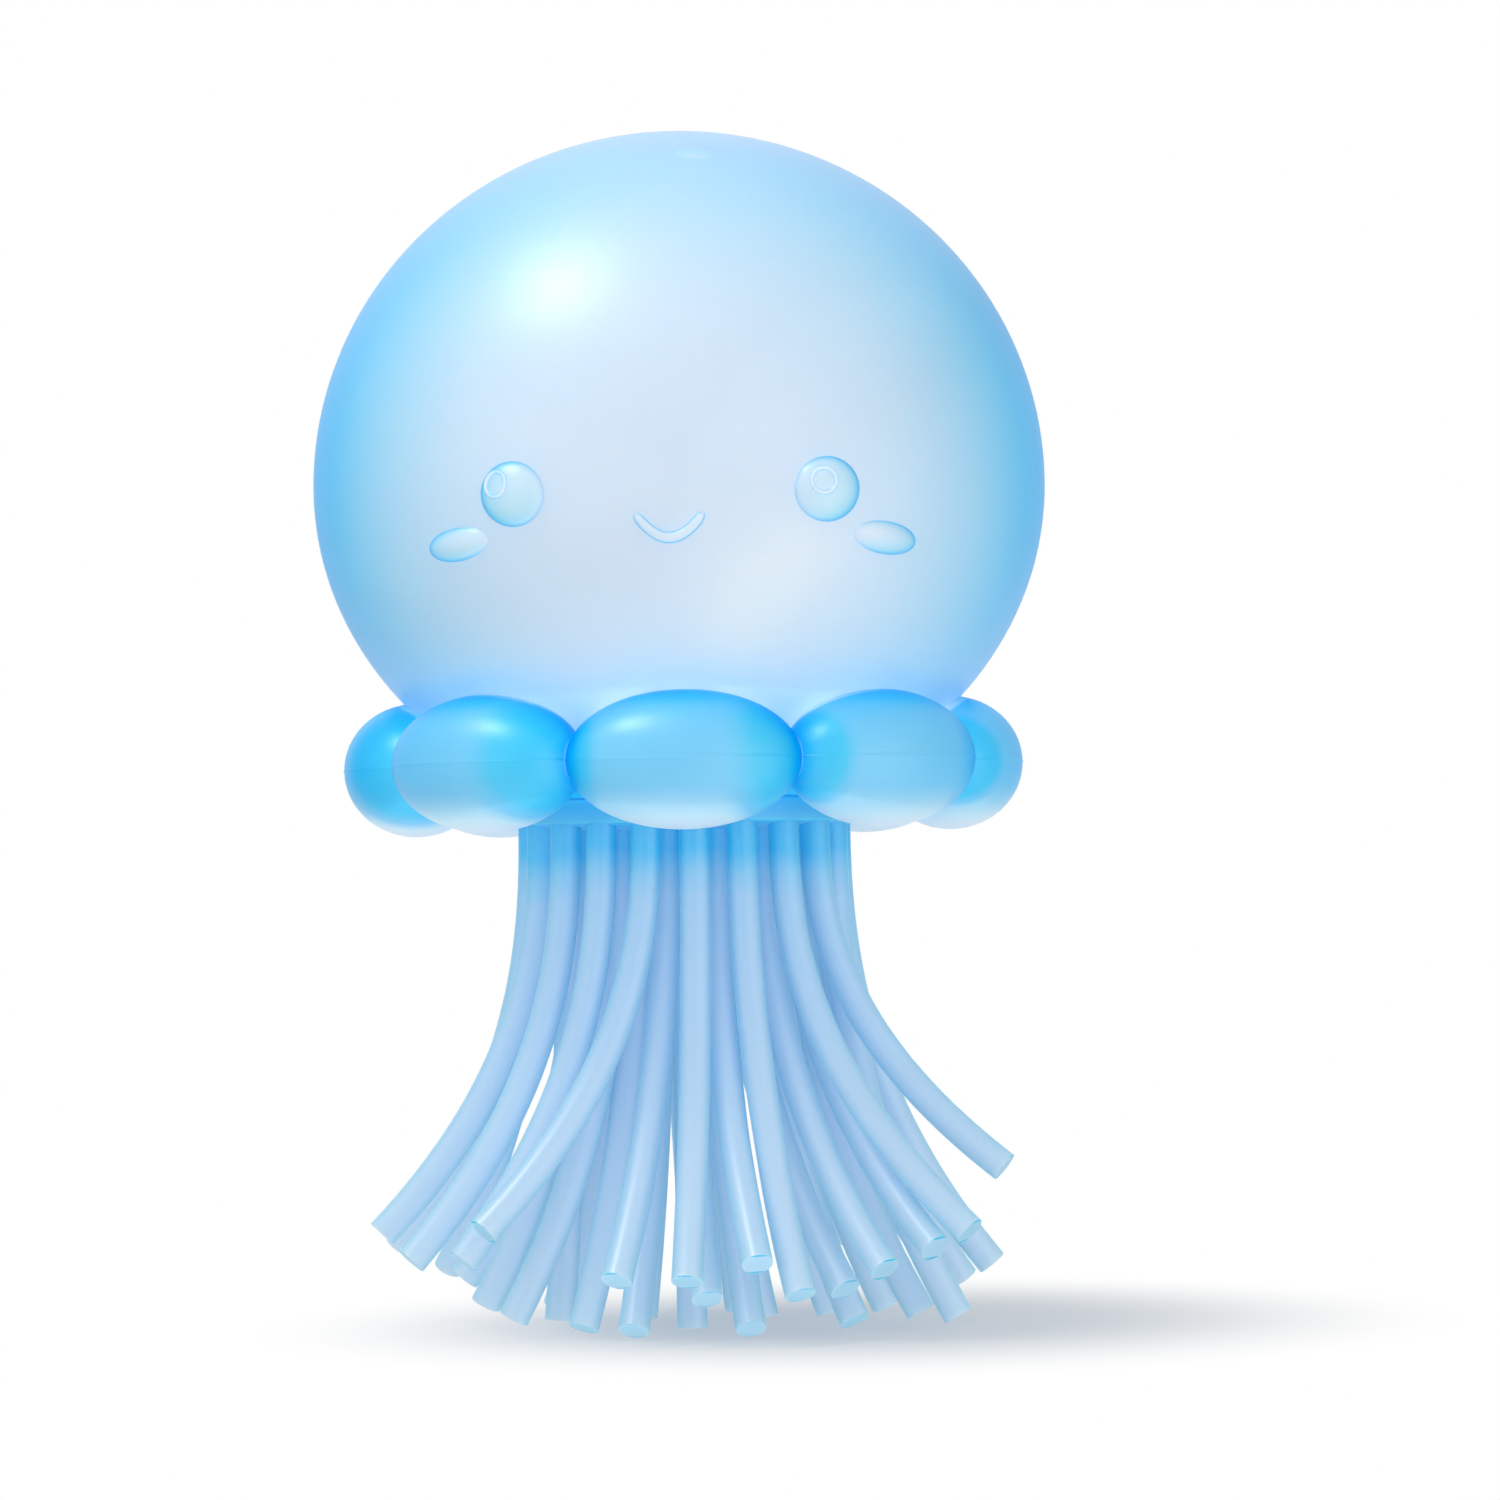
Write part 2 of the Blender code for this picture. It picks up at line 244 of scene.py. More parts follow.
# Frosted rubber: its plain values, the cloudiness of its blue, its fine grain, and the
# film's weight seen straight and at a full slant
RUBBER = {
    "Roughness": 0.43,
    "IOR": 1.5,
    "Specular IOR Level": 1.0,
    "Sheen Roughness": 0.25,
    "Subsurface Weight": 0.6,
    "Subsurface Radius": (0.6, 0.9, 1.0),
    "Subsurface Scale": 0.004,
    "Coat Roughness": 0.3,
    "Coat IOR": 1.05,
}
CLOUDINESS = 0.10
GRAIN_STRENGTH = 0.06
GRAIN_HEIGHT = 0.0001
FILM_STRAIGHT = 0.05
FILM_SLANTED = 0.80
FULL_SLANT = 0.74

# Floor: its white, the light it adds for the camera, and how it fades into the
# background with the distance from a point under the toy
FLOOR_WHITE = 0.60
FLOOR_LIFT = 0.16
FADE_MIDDLE = (0.018, 0.004, 0)
FADE_FROM = 0.018
FADE_TO = 0.068

# The light from all round
AMBIENT_COLOUR = (0.91, 0.955, 1.0, 1)
AMBIENT_STRENGTH = 0.60

# Lamps: name, place, what it faces, size, power, and whether it casts a shadow. The
# others stand for the light that soft rubber lets through.
LAMPS = (
    ("Key softbox", (-0.25, -0.14, 0.53), (0, 0, 0.09), 0.12, 0.25, True),
    ("Skirt light", (-0.25, -0.14, 0.53), (0, 0, 0.09), 0.06, 0.9, False),
    ("Left fill", (-0.75, -0.75, -0.2), (0, 0, 0.07), 1.4, 3.0, False),
    ("Right fill", (0.75, -0.75, -0.2), (0, 0, 0.07), 1.4, 6.0, False),
    ("Table glow", (0, -0.05, -0.3), (0, 0, 0.07), 0.5, 0.8, False),
)

# Camera: the photograph's viewing angle
CAMERA_PLACE = Vector((0, -0.5472, 0.0465))
CAMERA_TARGET = Vector((0.00728, 0, 0.0629))
CAMERA_ROLL = math.radians(0.9)
CAMERA_LENS = 120
CAMERA_SENSOR = 36


def select_only(piece):
    """Makes one object the only one selected, and the active one."""
    bpy.ops.object.select_all(action="DESELECT")
    piece.select_set(True)
    bpy.context.view_layer.objects.active = piece


def bake_place(piece):
    """Moves an object's place, turn and scale into its mesh."""
    select_only(piece)
    bpy.ops.object.transform_apply(location=True, rotation=True, scale=True)


def edit_verts(piece, chosen, mode="VERT"):
    """Opens a piece in edit mode with the points selected that pass a test."""
    select_only(piece)
    bpy.ops.object.mode_set(mode="EDIT")
    bpy.ops.mesh.select_mode(type="VERT")
    bpy.ops.mesh.select_all(action="DESELECT")
    bpy.ops.object.mode_set(mode="OBJECT")
    for vert in piece.data.vertices:
        vert.select = chosen(vert.co)
    bpy.ops.object.mode_set(mode="EDIT")
    bpy.ops.mesh.select_mode(type=mode)


def edit_faces(piece, chosen):
    """Opens a piece in edit mode with the faces selected that pass a test."""
    select_only(piece)
    bpy.ops.object.mode_set(mode="EDIT")
    bpy.ops.mesh.select_mode(type="FACE")
    bpy.ops.mesh.select_all(action="DESELECT")
    bpy.ops.object.mode_set(mode="OBJECT")
    for face in piece.data.polygons:
        face.select = chosen(face)
    bpy.ops.object.mode_set(mode="EDIT")


def close_edit():
    """Back to object mode."""
    bpy.ops.object.mode_set(mode="OBJECT")


def weld_outwards(piece):
    """Merges doubled points and turns all faces outwards."""
    select_only(piece)
    bpy.ops.object.mode_set(mode="EDIT")
    bpy.ops.mesh.select_all(action="SELECT")
    bpy.ops.mesh.remove_doubles(threshold=MERGE)
    bpy.ops.mesh.normals_make_consistent(inside=False)
    close_edit()


def join_solid(target, tool):
    """Unites a solid with the target and takes the solid away."""
    select_only(target)
    union = target.modifiers.new("Union", "BOOLEAN")
    union.operation = "UNION"
    union.solver = "EXACT"
    union.object = tool
    bpy.ops.object.modifier_apply(modifier=union.name)
    bpy.data.objects.remove(tool, do_unlink=True)


def on_bearing(bearing, radius, height):
    """The point at a bearing from the front, a radius from the axis and a height."""
    return Vector((radius * math.sin(bearing), -radius * math.cos(bearing), height))


def head_point(bearing, rise):
    """The head's surface at a bearing and a height over its middle, and its normal."""
    half = HEAD_UPPER if rise > 0 else HEAD_LOWER
    radius = HEAD_RADIUS * math.sqrt(1 - (rise / half) ** 2)
    out = on_bearing(bearing, radius / HEAD_RADIUS**2, rise / half**2)
    return on_bearing(bearing, radius, HEAD_Z + rise), out.normalized()


def on_head(bearing, rise, tilt=0.0):
    """A frame on the head: X to the right, Y up the face and Z out of it."""
    point, normal = head_point(bearing, rise)
    right = Vector((math.cos(bearing), math.sin(bearing), 0))
    up = normal.cross(right)
    turn = Matrix((right, up, normal)).transposed().to_4x4()
    return Matrix.Translation(point) @ turn @ Matrix.Rotation(tilt, 4, "Z")


def ring_of_strands(radius, start, tips):
    """The root and the tip of each strand of one ring, with the tip's lift."""
    ends = []
    for i, (bearing, reach, lift) in enumerate(tips):
        root = on_bearing(math.radians(start + 360 * i / len(tips)), radius, 0)
        tip = on_bearing(math.radians(bearing), reach * MILLIMETRE, 0)
        slope = SWING_POWER * (tip - root).length / STRAND_DROP
        rim = STRAND_RADIUS * slope / math.sqrt(1 + slope**2)
        ends.append((root[:2], tip[:2], lift * MILLIMETRE + rim))
    return ends


def strand_ends():
    """All strands as arrays: the root, the tip and the tip's height."""
    ends = [((0, 0), (0, 0), 0)]
    ends += ring_of_strands(CORE_RING, CORE_START, CORE_TIPS)
    ends += ring_of_strands(INNER_RING, INNER_START, INNER_TIPS)
    ends += ring_of_strands(MIDDLE_RING, MIDDLE_START, MIDDLE_TIPS)
    ends += ring_of_strands(OUTER_RING, OUTER_START, OUTER_TIPS)
    roots, tips, heights = zip(*ends)
    return np.array(roots), np.array(tips), np.array(heights)


def swing(fall, roots, tips):
    """Where strands are once they have fallen this share of their drop."""
    return roots + (tips - roots) * fall**SWING_POWER


def spread_strands(roots, tips, heights):
    """How far each strand is pushed sideways at each level so that no two touch."""
    nearest = 2 * STRAND_RADIUS + STRAND_GAP
    height = np.linspace(PLUG_BOTTOM, 0, SPREAD_LEVELS)
    step = height[0] - height[1]
    fall = (PLUG_BOTTOM - height) / (PLUG_BOTTOM - heights[:, None])
    hangs = fall <= PAST_TIP
    base = swing(np.minimum(fall, PAST_TIP)[..., None], roots[:, None], tips[:, None])
    push = np.zeros_like(base)
    itself = range(len(roots))
    for _ in range(SPREAD_ROUNDS):
        place = base + push
        slope = np.gradient(place, step, axis=1)
        apart = place[:, None] - place[None]
        lean = (slope[:, None] + slope[None]) / 2
        along = (apart * lean).sum(-1) ** 2 / (1 + (lean**2).sum(-1))
        wide = np.sqrt(np.maximum((apart**2).sum(-1) - along, 0))
        meets = (wide < nearest) & hangs[:, None] & hangs[None]
        meets[itself, itself] = False
        length = np.linalg.norm(apart, axis=-1)
        length[itself, itself] = nearest
        shove = np.where(meets, GIVE_WAY * (nearest - wide) / length, 0)[..., None] * apart
        push += shove.sum(1)
        push[:, 1:-1] = (push[:, :-2] + 2 * push[:, 1:-1] + push[:, 2:]) / 4
        push[:, 0] = 0
        push[0] = 0
    return height, push


def strand_routes():
    """The middle line of each strand, from inside the plug to its tip."""
    roots, tips, heights = strand_ends()
    levels, push = spread_strands(roots, tips, heights)
    routes = []
    for root, tip, low, aside in zip(roots, tips, heights, push):
        route = [Vector((*root, PLUG_BOTTOM + STRAND_EMBED))]
        for fall in np.linspace(0, 1, STRAND_SEGMENTS + 1):
            z = PLUG_BOTTOM + (low - PLUG_BOTTOM) * fall
            x, y = swing(fall, root, tip)
            x += np.interp(-z, -levels, aside[:, 0])
            y += np.interp(-z, -levels, aside[:, 1])
            route.append(Vector((x, y, z)))
        routes.append(route)
    return routes


def draw_rods(name, routes, depth, bevel):
    """One mesh of round rods, each along a list of (point, width factor)."""
    curve = bpy.data.curves.new(name, "CURVE")
    curve.dimensions = "3D"
    curve.bevel_depth = depth
    curve.bevel_resolution = bevel
    curve.use_fill_caps = True
    for route in routes:
        spline = curve.splines.new("POLY")
        spline.points.add(len(route) - 1)
        for knot, (point, factor) in zip(spline.points, route):
            knot.co = (*point, 1)
            knot.radius = factor
    rods = bpy.data.objects.new(name, curve)
    bpy.context.scene.collection.objects.link(rods)
    select_only(rods)
    bpy.ops.object.convert(target="MESH")
    weld_outwards(rods)
    return rods


def make_plug():
    """The round plug with its spigot above and its low belly below."""
    middle = (PLUG_BOTTOM + PLUG_TOP) / 2
    bpy.ops.mesh.primitive_cylinder_add(
        vertices=HEAD_SEGMENTS, radius=PLUG_RADIUS, depth=PLUG_FLANGE, location=(0, 0, middle)
    )
    plug = bpy.context.object
    plug.name = "rubber_tentacles"
    bake_place(plug)
    edit_faces(plug, lambda face: face.normal.z > 0.5)
    bpy.ops.mesh.inset(thickness=PLUG_RADIUS - SPIGOT_RADIUS, depth=0)
    bpy.ops.mesh.extrude_region_move(TRANSFORM_OT_translate={"value": (0, 0, SPIGOT_HEIGHT)})
    close_edit()
    edit_faces(plug, lambda face: face.normal.z < -0.5)
    step = PLUG_RADIUS / (len(BELLY_STEPS) + 1)
    for share in BELLY_STEPS:
        bpy.ops.mesh.inset(thickness=step, depth=0)
        bpy.ops.transform.translate(value=(0, 0, -PLUG_BELLY * share))
    close_edit()
    for edge in plug.data.edges:
        first, second = (plug.data.vertices[i].co for i in edge.vertices)
        rim = min(first.xy.length, second.xy.length) > PLUG_RADIUS - NEAR
        edge.select = rim and abs(first.z - second.z) < NEAR
    bpy.ops.object.mode_set(mode="EDIT")
    bpy.ops.mesh.bevel(offset=PLUG_EDGE, segments=PLUG_EDGE_STEPS, affect="EDGES")
    close_edit()
    return plug


def dish_ends(strands):
    """Gives each strand's cut end a thin rim and a shallow dish."""
    edit_faces(
        strands, lambda face: len(face.vertices) > FEW_CORNERS and face.center.z < PLUG_BOTTOM
    )
    bpy.ops.mesh.inset(thickness=END_EDGE, depth=END_EDGE, use_individual=True)
    bpy.ops.mesh.inset(thickness=END_RIM, depth=0, use_individual=True)
    bpy.ops.mesh.inset(thickness=END_DISH, depth=-END_DISH, use_individual=True)
    close_edit()


def paint_ends(strands, tips):
    """Stores 1 at the corners of the faces that form the rim of a cut end."""
    mesh = strands.data
    rims = []
    middles = [face.center.copy() for face in mesh.polygons]
    for tip, way in tips:
        for face, middle in zip(mesh.polygons, middles):
            off = middle - tip
            if off.length_squared < STRAND_RADIUS**2:
                aside = (off - way * off.dot(way)).length
                if abs(off.dot(way)) < END_DISH and aside > STRAND_RADIUS - RIM_REACH * END_RIM:
                    rims.append(face.index)
    values = np.zeros(len(mesh.polygons))
    values[rims] = 1
    sizes = np.empty(len(mesh.polygons), dtype=np.int64)
    mesh.polygons.foreach_get("loop_total", sizes)
    layer = mesh.attributes.new("end_rim", "FLOAT", "CORNER")
    layer.data.foreach_set("value", np.repeat(values, sizes).astype(np.float32))


def make_tentacles():
    """The plug with all its strands in one piece."""
    plug = make_plug()
    lines = strand_routes()
    routes = [[(point, 1) for point in route] for route in lines]
    strands = draw_rods("strands", routes, STRAND_RADIUS, STRAND_BEVEL)
    dish_ends(strands)
    join_solid(plug, strands)
    paint_ends(plug, [(route[-1], (route[-1] - route[-2]).normalized()) for route in lines])
    return plug


def make_head():
    """The round head, with the neck and the socket for the plug under it."""
    bpy.ops.mesh.primitive_uv_sphere_add(
        segments=HEAD_SEGMENTS, ring_count=HEAD_RINGS, radius=HEAD_RADIUS, location=(0, 0, HEAD_Z)
    )
    head = bpy.context.object
    head.name = "rubber_bell"
    bake_place(head)
    for half, side in ((HEAD_UPPER, 1), (HEAD_LOWER, -1)):
        edit_verts(head, lambda co: (co.z - HEAD_Z) * side > NEAR)
        bpy.ops.transform.resize(value=(1, 1, half / HEAD_RADIUS), center_override=(0, 0, HEAD_Z))
        close_edit()
    neck_rise = -HEAD_LOWER * math.sqrt(1 - (NECK_RADIUS / HEAD_RADIUS) ** 2)
    edit_verts(head, lambda co: True)
    bpy.ops.mesh.bisect(
        plane_co=(0, 0, HEAD_Z + neck_rise), plane_no=(0, 0, 1), use_fill=True, clear_inner=True
    )
    close_edit()
    edit_faces(head, lambda face: len(face.vertices) > FEW_CORNERS)
    drop = NECK_BOTTOM - HEAD_Z - neck_rise
    bpy.ops.mesh.extrude_region_move(TRANSFORM_OT_translate={"value": (0, 0, drop)})
    bpy.ops.mesh.inset(thickness=NECK_RADIUS - SPIGOT_RADIUS - CLEARANCE, depth=0)
    roof = PLUG_TOP + SPIGOT_HEIGHT + CLEARANCE - NECK_BOTTOM
    bpy.ops.mesh.extrude_region_move(TRANSFORM_OT_translate={"value": (0, 0, roof)})
    close_edit()
    weld_outwards(head)
    return head


def make_lobe():
    """The front lobe, with a fine parting line round its outer side."""
    bpy.ops.mesh.primitive_uv_sphere_add(
        segments=LOBE_SEGMENTS,
        ring_count=LOBE_RINGS,
        radius=1,
        location=(0, -RING_RADIUS, SKIRT_Z),
        rotation=(0, math.pi / 2, 0),
        scale=(LOBE_HALF_HEIGHT, LOBE_HALF_THICKNESS, LOBE_HALF_LENGTH),
    )
    lobe = bpy.context.object
    lobe.name = "lobe"
    bake_place(lobe)

    def on_line(co):
        return abs(co.z - SKIRT_Z) < NEAR and co.y < -RING_RADIUS - NEAR

    edit_verts(lobe, on_line, "EDGE")
    bpy.ops.mesh.bevel(offset=PARTING_WIDTH, segments=2, affect="EDGES")
    close_edit()
    edit_verts(lobe, on_line)
    bpy.ops.transform.shrink_fatten(value=PARTING_RISE)
    close_edit()
    return lobe


def add_skirt(bell):
    """Eight lobes in a ring, one of them in front, joined to the head."""
    lobe = make_lobe()
    for i in range(LOBE_COUNT):
        copy = lobe.copy()
        copy.data = lobe.data.copy()
        bpy.context.scene.collection.objects.link(copy)
        turn = Matrix.Rotation(2 * math.pi * i / LOBE_COUNT, 4, "Z")
        uneven = Matrix.Translation((0, 0, LOBE_UNEVENNESS * (i % 2)))
        copy.matrix_world = turn @ uneven
        bake_place(copy)
        join_solid(bell, copy)
    bpy.data.objects.remove(lobe, do_unlink=True)


def dome(half_sizes, rise, place, sides):
    """A low dome to join to the head: the top of an ellipsoid seated inside it."""
    depth = rise + RELIEF_SEAT
    widen = 1 / math.sqrt(1 - (RELIEF_SEAT / depth) ** 2)
    radii = (half_sizes[0] * widen, half_sizes[1] * widen, depth)
    bpy.ops.mesh.primitive_uv_sphere_add(segments=sides, ring_count=sides // 2, radius=1)
    ball = bpy.context.object
    seated = place @ Matrix.Translation((0, 0, -RELIEF_SEAT))
    ball.matrix_world = seated @ Matrix.Diagonal((*radii, 1))
    bake_place(ball)
    return ball


def eye_frame(place, offset):
    """A frame on an eye's dome at an offset from its middle, Z out of the dome."""
    depth = EYE_RISE + RELIEF_SEAT
    radius = EYE_RADIUS / math.sqrt(1 - (RELIEF_SEAT / depth) ** 2)
    x, y = offset
    z = depth * math.sqrt(1 - (x * x + y * y) / radius**2)
    out = Vector((x / radius**2, y / radius**2, z / depth**2)).normalized()
    turn = out.to_track_quat("Z", "Y").to_matrix().to_4x4()
    return place @ Matrix.Translation((x, y, z - RELIEF_SEAT)) @ turn


def add_face(bell):
    """Two dome eyes with a raised ring on each, two cheeks and a smile."""
    for side, offset in ((-1, GLINT_PLACES[0]), (1, GLINT_PLACES[1])):
        place = on_head(FACE_TURN + side * EYE_BEARING, -EYE_DROP)
        sizes = (EYE_RADIUS * EYE_WIDENING, EYE_RADIUS)
        join_solid(bell, dome(sizes, EYE_RISE, place, EYE_SIDES))
        bpy.ops.mesh.primitive_torus_add(
            major_radius=GLINT_RADIUS,
            minor_radius=GLINT_WIRE,
            major_segments=MARK_SIDES,
            minor_segments=GLINT_SIDES,
        )
        ring = bpy.context.object
        ring.matrix_world = eye_frame(place, offset) @ Matrix.Translation((0, 0, -GLINT_SEAT))
        bake_place(ring)
        join_solid(bell, ring)
        place = on_head(FACE_TURN + side * CHEEK_BEARING, -CHEEK_DROP, -side * CHEEK_TILT)
        sizes = (CHEEK_HALF_WIDTH, CHEEK_HALF_HEIGHT)
        join_solid(bell, dome(sizes, CHEEK_RISE, place, MARK_SIDES))
    route = []
    for share in np.linspace(-1, 1, SMILE_POINTS):
        rise = -SMILE_DROP + SMILE_DEPTH * share**2
        point, normal = head_point(FACE_TURN + share * SMILE_HALF_ANGLE, rise)
        end = math.sqrt(1 - abs(share) ** SMILE_BLUNTNESS) if abs(share) < 1 else SMILE_TIP
        route.append((point - normal * SMILE_SEAT, (1 - SMILE_TAPER * share**2) * end))
    join_solid(bell, draw_rods("smile", [route], SMILE_RADIUS, SMILE_BEVEL))


def add_crown_mark(bell):
    """The low round mark where the bag was filled, near the top of the head."""
    place = on_head(CROWN_BEARING, HEAD_UPPER * math.sin(CROWN_LATITUDE))
    join_solid(bell, dome((CROWN_RADIUS, CROWN_RADIUS), CROWN_RISE, place, MARK_SIDES))


def make_bell():
    """The moulded bell: head, neck, skirt, face and crown mark in one piece."""
    bell = make_head()
    add_skirt(bell)
    add_face(bell)
    add_crown_mark(bell)
    return bell


def finish_mesh(piece, crease):
    """Smooth shading with crisp creases, and no material of the primitives."""
    select_only(piece)
    bpy.ops.object.shade_smooth_by_angle(angle=crease)
    piece.data.materials.clear()


def face_blue(points):
    """How much bluer the eyes and cheeks are, with painted shade at their lower right, and how much
    paler the rings on the eyes as a painted highlight.
    """
    more = np.zeros(len(points))
    marks = []
    for side in (-1, 1):
        eye = on_head(FACE_TURN + side * EYE_BEARING, -EYE_DROP)
        marks.append((eye, EYE_RADIUS * EYE_WIDENING, EYE_RADIUS, EYE_RISE, EYE_BLUE))
        cheek = on_head(FACE_TURN + side * CHEEK_BEARING, -CHEEK_DROP, -side * CHEEK_TILT)
        marks.append((cheek, CHEEK_HALF_WIDTH, CHEEK_HALF_HEIGHT, CHEEK_RISE, CHEEK_BLUE))
    for place, wide, high, rise, blue in marks:
        local = (points - np.array(place.translation)) @ np.array(place.to_3x3())
        x, y = local[:, 0] / wide, local[:, 1] / high
        inside = np.clip((1 - np.hypot(x, y)) / MARK_EDGE, 0, 1) * (abs(local[:, 2]) < 2 * rise)
        # Painted shade: bluer towards the lower right of each eye and cheek, away from the lamp; the
        # even part is the thicker rubber.
        more += inside * (blue + MARK_PAINTED_SHADE * (MARK_LEAN * x - y))
    for side, offset in ((-1, GLINT_PLACES[0]), (1, GLINT_PLACES[1])):
        ring = eye_frame(on_head(FACE_TURN + side * EYE_BEARING, -EYE_DROP), offset)
        local = (points - np.array(ring.translation)) @ np.array(ring.to_3x3())
        off = np.hypot(np.hypot(local[:, 0], local[:, 1]) - GLINT_RADIUS, local[:, 2])
        # Painted highlight: the rings on the eyes are paler.
        more = np.where(off < GLINT_REACH * GLINT_WIRE, -GLINT_PAINTED_HIGHLIGHT, more)
    return more


def comes_in(distance, start, length):
    """0 before a start and 1 once a length past it, with a straight rise between."""
    return np.clip((distance - start) / length, 0, 1)


def mesh_corners(mesh):
    """The place of each face corner, its face's number and the middle of each face."""
    points = np.empty(len(mesh.vertices) * 3)
    mesh.vertices.foreach_get("co", points)
    corner_points = np.empty(len(mesh.loops), dtype=np.int64)
    mesh.loops.foreach_get("vertex_index", corner_points)
    sizes = np.empty(len(mesh.polygons), dtype=np.int64)
    mesh.polygons.foreach_get("loop_total", sizes)
    face_of = np.repeat(np.arange(len(sizes)), sizes)
    corner = points.reshape(-1, 3)[corner_points]
    middle = np.stack([np.bincount(face_of, corner[:, i]) / sizes for i in range(3)], axis=1)
    return corner, face_of, middle


def in_lobe(place, turn):
    """Places as shares of the half sizes of the lobe that stands at a bearing."""
    bearing = np.arctan2(place[:, 0], -place[:, 1]) - turn
    radius = np.hypot(place[:, 0], place[:, 1])
    along = radius * np.sin(bearing) / LOBE_HALF_LENGTH
    across = (radius * np.cos(bearing) - RING_RADIUS) / LOBE_HALF_THICKNESS
    return along, across, (place[:, 2] - SKIRT_Z) / LOBE_HALF_HEIGHT


def on_a_lobe(middle, lobe):
    """Whether each face lies on a lobe and not on the head or the neck."""
    rise = middle[:, 2] - HEAD_Z
    half = np.where(rise > 0, HEAD_UPPER, HEAD_LOWER)
    radius = np.hypot(middle[:, 0], middle[:, 1])
    off_head = np.abs(np.hypot(radius / HEAD_RADIUS, rise / half) - 1) * HEAD_RADIUS
    off_neck = np.abs(radius - NECK_RADIUS)
    off_lobe = np.abs(np.sqrt(sum(v**2 for v in in_lobe(middle, lobe))) - 1)
    off_lobe *= LOBE_HALF_HEIGHT
    return (off_lobe < off_head) & (off_lobe < off_neck) & (rise < -HEAD_LOWER / 2)


def lobe_paint(corner, lobe):
    """How blue a lobe is, with painted shade on its right end and painted light on its underside,
    and how strong its film.
    """
    along, _, height = in_lobe(corner, lobe)
    # The deep ends are where the lobes meet and the rubber is thick; the wider one on the right is
    # also painted shade on the side away from the lamp.
    ends = np.maximum(comes_in(along, *RIGHT_END), comes_in(-along, *LEFT_END))
    ends = ends * ends * (3 - 2 * ends)
    crest = comes_in(height, *CREST)
    # Painted light: the underside is paler and its film thinner, as if lit from below.
    low = comes_in(-height, *UNDERSIDE)
    blue = LOBE_BLUE + LOBE_ENDS_BLUER * ends + LOBE_CREST_BLUER * crest - LOBE_UNDERSIDE_PAINTED_LIGHT * low**2
    thick = LOBE_FILM + np.maximum(LOBE_END_FILM * ends, LOBE_CREST_FILM * crest**2)
    return blue, thick * (1 - low)


def head_paint(corner):
    """How blue the head is, with its painted glow of light and its face, and how strong its film,
    thinned as painted light at the top and neck.
    """
    # Painted light: a pale patch low on the front right of the head, where light that passes through
    # the rubber would gather.
    off = corner - np.array(head_point(GLOW_BEARING, -GLOW_DROP)[0])
    rising = (off[:, 0] + off[:, 2]) ** 2 / GLOW_LONG
    falling = (off[:, 0] - off[:, 2]) ** 2 / GLOW_WIDE
    glow = np.exp(-(rising + falling) / GLOW_RADIUS**2)
    # Painted light: the film thins towards the top and the bottom of the head, so its rim is paler
    # there.
    rise = corner[:, 2] - HEAD_Z
    share = rise / np.where(rise > 0, HEAD_UPPER, HEAD_LOWER)
    lit_thinner = np.where(share > 0, HEAD_TOP_PAINTED_LIGHT, HEAD_LOW_PAINTED_LIGHT)
    return HEAD_BLUE - PAINTED_GLOW_PALER * glow + face_blue(corner), 1 - lit_thinner * share**2


def seam_distance(corner, lobe):
    """How far a point of a lobe is from the next lobe or from the head."""
    bearing = np.arctan2(corner[:, 0], -corner[:, 1]) - lobe
    reach = np.hypot(corner[:, 0], corner[:, 1])
    off_next = reach * np.sin(math.pi / LOBE_COUNT - np.abs(bearing))
    off_head = np.hypot(reach / HEAD_RADIUS, (corner[:, 2] - HEAD_Z) / HEAD_LOWER) - 1
    return np.minimum(LOBE_SEAM_SHARPER * off_next, off_head * HEAD_RADIUS / HEAD_SEAM_WIDER)


def paint_bell(bell):
    """Stores how blue the bell is, its film and its seams at each face corner."""
    mesh = bell.data
    corner, face_of, middle = mesh_corners(mesh)
    pitch = 2 * np.pi / LOBE_COUNT
    lobe = np.round(np.arctan2(middle[:, 0], -middle[:, 1]) / pitch) * pitch
    lobed = on_a_lobe(middle, lobe)[face_of]
    necked = ~lobed & (middle[face_of, 2] < SKIRT_Z)
    lobe = lobe[face_of]
    lobe_blue, lobe_film = lobe_paint(corner, lobe)
    head_blue, head_film = head_paint(corner)
    values = {
        "blue_depth": np.where(necked, NECK_BLUE, np.where(lobed, lobe_blue, head_blue)),
        "film": np.where(lobed, lobe_film, head_film),
        "seam": np.where(lobed, seam_distance(corner, lobe), 1),
    }
    for name, value in values.items():
        layer = mesh.attributes.new(name, "FLOAT", "CORNER")
        layer.data.foreach_set("value", np.maximum(value, 0).astype(np.float32))


def socket_group(name, inputs, outputs):
    """A new shader node group with named (name, type, value) inputs and outputs."""
    group = bpy.data.node_groups.new(name, "ShaderNodeTree")
    for label, kind, value in inputs:
        socket = group.interface.new_socket(label, in_out="INPUT", socket_type=kind)
        socket.default_value = value
    for label, kind in outputs:
        group.interface.new_socket(label, in_out="OUTPUT", socket_type=kind)
    return group


